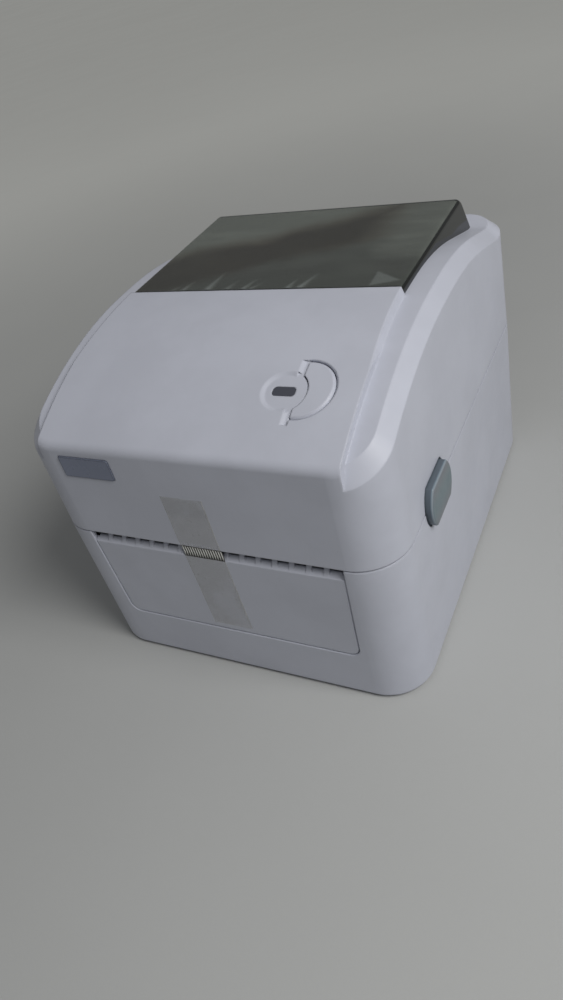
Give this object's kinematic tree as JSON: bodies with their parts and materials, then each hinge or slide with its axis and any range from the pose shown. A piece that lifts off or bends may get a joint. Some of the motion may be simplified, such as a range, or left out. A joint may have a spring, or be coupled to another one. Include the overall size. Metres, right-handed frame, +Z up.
{
  "type": "desktop label printer",
  "caption": "Clamshell desktop label printer: rear-hinged windowed cover, media guides, geared platen roller, sprung print head, side release buttons, serrated tear bar.",
  "frame": {"origin": "on the table, under the middle of the casing", "axes": "+X to the machine's right seen by a person facing its front, +Y towards the rear hinge, +Z up; the label leaves towards -Y"},
  "size_m": [0.1866, 0.22, 0.1624],
  "materials": {
    "casing_white": "fine spark-eroded texture",
    "window_smoke": "dark smoked, polished",
    "button_grey": "satin",
    "tray_grey": "moulded",
    "liner_grey": "moulded",
    "badge_silver": "satin silver",
    "lens_dark": "polished",
    "rubber_dark": "matt",
    "steel_bright": "brushed",
    "steel_plated": "zinc plated",
    "aluminium_head": "extruded",
    "ceramic": "glazed",
    "gear_white": "self-lubricating plastic",
    "bronze": "sintered",
    "board_green": "solder mask",
    "component_black": "moulded",
    "motor_body": "satin black and bare steel",
    "switch_black": "satin"
  },
  "bodies": {
    "base": {"lower_housing": "casing_white", "rubber_feet": "rubber_dark", "front_panel": "casing_white", "inner_frame": "tray_grey", "rack_cover": "tray_grey", "sensor_rail": "steel_bright", "platen_bushings": "bronze", "idler_axle": "steel_bright", "stepper_motor": "motor_body", "gear_plate": "steel_plated", "main_board": "board_green", "board_components": "component_black", "usb_port": "steel_plated", "dc_jack": "component_black", "switch_bezel": "switch_black", "housing_screws": "steel_plated", "board_screws": "steel_plated", "hinge_pins": "steel_bright", "release_spring_right": "steel_plated", "release_spring_left": "steel_plated"},
    "cover": {"upper_cover": "casing_white", "window": "window_smoke", "badge_plate": "badge_silver", "led_lens": "lens_dark", "button_board": "board_green", "tear_bar": "steel_bright", "cover_liner": "liner_grey", "head_springs": "steel_plated", "cover_screws": "steel_plated"},
    "printhead": {"printhead_heatsink": "aluminium_head", "printhead_strip": "ceramic"},
    "feed_key": {"feed_button": "casing_white"},
    "right_release": {"release_button_right": "button_grey"},
    "left_release": {"release_button_left": "button_grey"},
    "platen": {"platen_roller": "rubber_dark", "platen_shaft": "steel_bright", "platen_gear": "gear_white"},
    "idler": {"idler_gear": "gear_white"},
    "motor_shaft": {"motor_pinion": "bronze"},
    "left_guide": {"media_guide_left": "button_grey"},
    "right_guide": {"media_guide_right": "button_grey"},
    "guide_gear": {"guide_pinion": "gear_white"},
    "gap_sensor": {"sensor_carriage": "component_black"},
    "rocker": {"switch_rocker": "switch_black"}
  },
  "joints": [
    {"name": "cover_hinge", "type": "hinge", "parent": "base", "child": "cover", "pos_m": [0, 0.103, 0.0931], "axis": [-1, 0, 0], "range_deg": [0, 80]},
    {"name": "printhead_press", "type": "slide", "parent": "cover", "child": "printhead", "axis": [0, 0, 1], "range_m": [0, 0.0012], "stiffness_N_per_m": 3000, "springref_m": -0.002, "deforming": ["head_springs"]},
    {"name": "feed_press", "type": "slide", "parent": "cover", "child": "feed_key", "axis": [0, 0.3302, -0.9439], "range_m": [0, 0.0007], "stiffness_N_per_m": 600, "springref_m": -0.001},
    {"name": "right_release_press", "type": "slide", "parent": "base", "child": "right_release", "axis": [-1, 0, 0], "range_m": [0, 0.003], "stiffness_N_per_m": 800, "springref_m": -0.002, "deforming": ["release_spring_right"]},
    {"name": "left_release_press", "type": "slide", "parent": "base", "child": "left_release", "axis": [1, 0, 0], "range_m": [0, 0.003], "stiffness_N_per_m": 800, "springref_m": -0.002, "deforming": ["release_spring_left"]},
    {"name": "platen_spin", "type": "hinge", "parent": "base", "child": "platen", "pos_m": [0, -0.096, 0.0775], "axis": [1, 0, 0], "continuous": true},
    {"name": "idler_spin", "type": "hinge", "parent": "base", "child": "idler", "pos_m": [0, -0.08173, 0.05946], "axis": [1, 0, 0], "continuous": true},
    {"name": "motor_spin", "type": "hinge", "parent": "base", "child": "motor_shaft", "pos_m": [0, -0.077, 0.039], "axis": [1, 0, 0], "continuous": true},
    {"name": "left_guide_slide", "type": "slide", "parent": "base", "child": "left_guide", "axis": [1, 0, 0], "range_m": [0, 0.042]},
    {"name": "right_guide_slide", "type": "slide", "parent": "base", "child": "right_guide", "axis": [-1, 0, 0], "range_m": [0, 0.042]},
    {"name": "guide_gear_spin", "type": "hinge", "parent": "base", "child": "guide_gear", "pos_m": [0, 0.015, 0.0295], "axis": [0, 0, 1], "range_deg": [0, 302.8]},
    {"name": "gap_sensor_slide", "type": "slide", "parent": "base", "child": "gap_sensor", "axis": [1, 0, 0], "range_m": [-0.03, 0.03]},
    {"name": "switch_rock", "type": "hinge", "parent": "base", "child": "rocker", "pos_m": [0.05, 0.104, 0.02], "axis": [0, 0, 1], "range_deg": [0, 16]}
  ],
  "couplings": [
    {"joint": "idler_spin", "follows": "platen_spin", "ratio": -0.53333},
    {"joint": "motor_spin", "follows": "platen_spin", "ratio": 1.3333},
    {"joint": "right_guide_slide", "follows": "left_guide_slide", "ratio": 1},
    {"joint": "guide_gear_spin", "follows": "left_guide_slide", "rad_per_m": 125}
  ]
}
